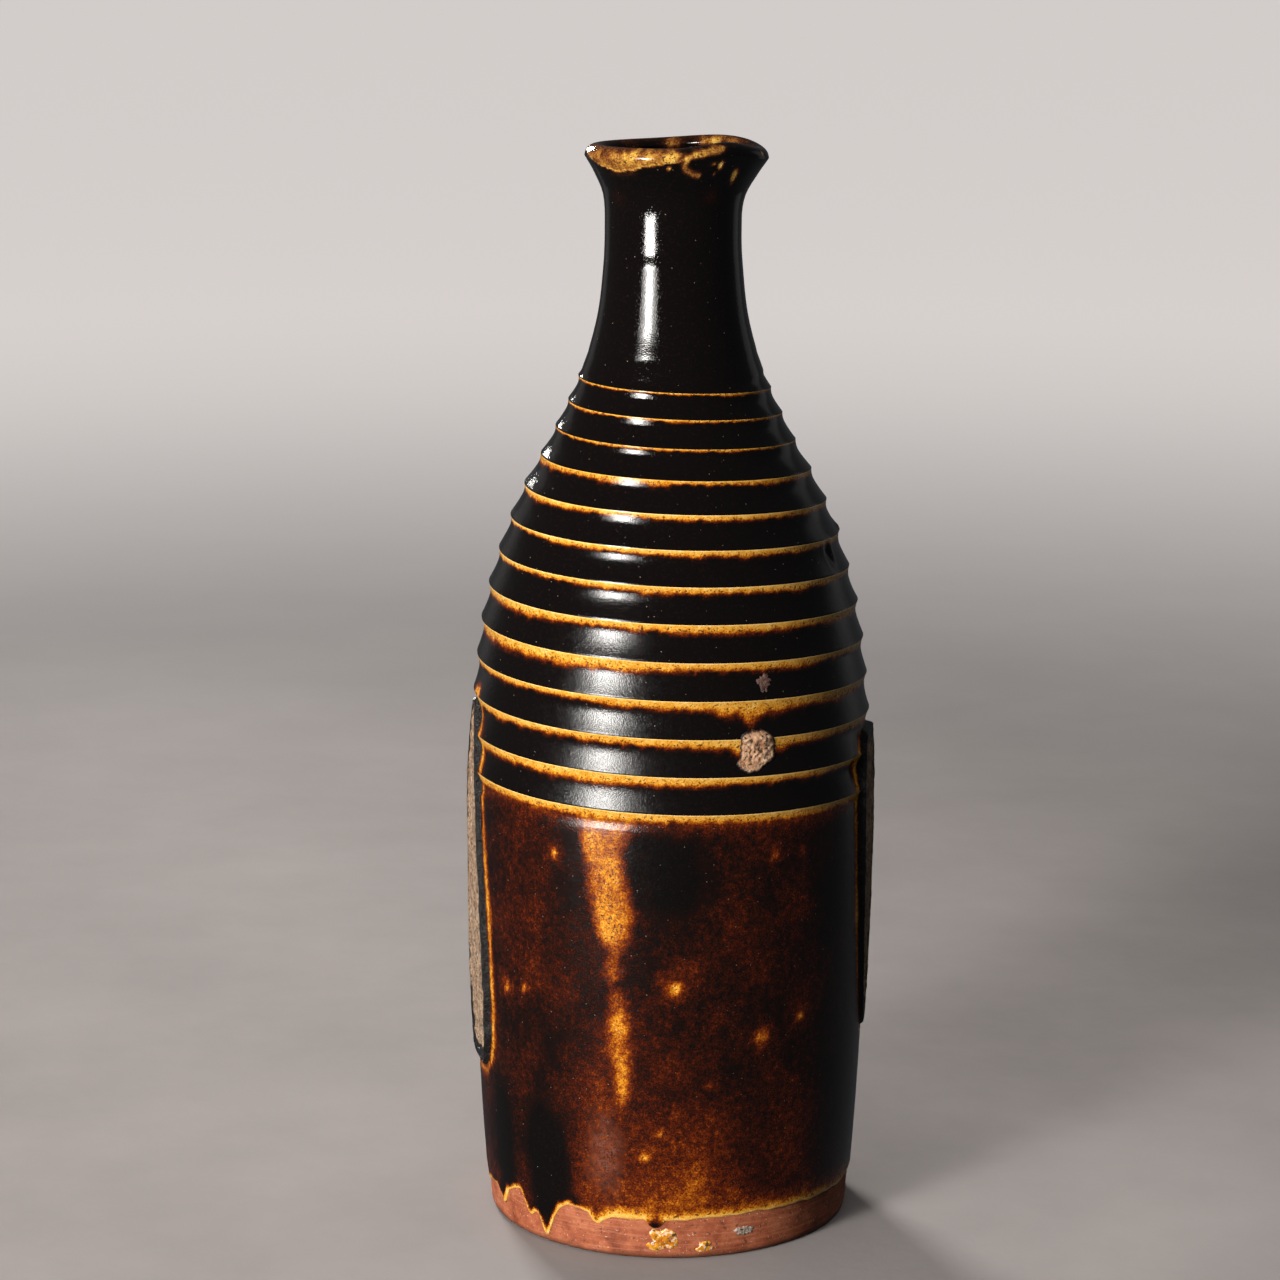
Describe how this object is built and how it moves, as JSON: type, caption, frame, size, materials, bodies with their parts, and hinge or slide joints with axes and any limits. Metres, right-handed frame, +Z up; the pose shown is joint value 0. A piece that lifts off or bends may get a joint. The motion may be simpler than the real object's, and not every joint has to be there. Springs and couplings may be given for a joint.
{
  "type": "sake bottle",
  "caption": "Tall stoneware sake bottle with a spiral-ridged shoulder, slender neck, flared lip, brown-black iron glaze and a bare clay foot.",
  "frame": {"origin": "middle of the flat base, on the surface the bottle stands on", "axes": "+Z up along the bottle's axis to the mouth, -Y towards the front that the picture shows, +X to its right"},
  "size_m": [0.1089, 0.1062, 0.2863],
  "materials": {
    "clay": "bare fired red-brown stoneware, fine sandy grain, unglazed",
    "glaze": "glossy brown-black iron glaze, amber where it runs thin on ridges, lip and glaze line",
    "inner_glaze": "dark brown glossy iron glaze",
    "scar": "rough broken grey-brown clay with a glassy blue-black rim",
    "grit": "rough broken pink-tan clay crust",
    "splash": "small glossy amber drops of glaze"
  },
  "bodies": {
    "root": {"clay_body": "clay", "outer_glaze": "glaze", "inner_glaze": "inner_glaze", "kiln_scar_left": "scar", "kiln_scar_right": "scar", "shoulder_grit": "grit", "shoulder_grit_small": "grit", "foot_splash_front": "splash", "foot_splash_right": "splash", "foot_crust": "grit"}
  },
  "joints": []
}
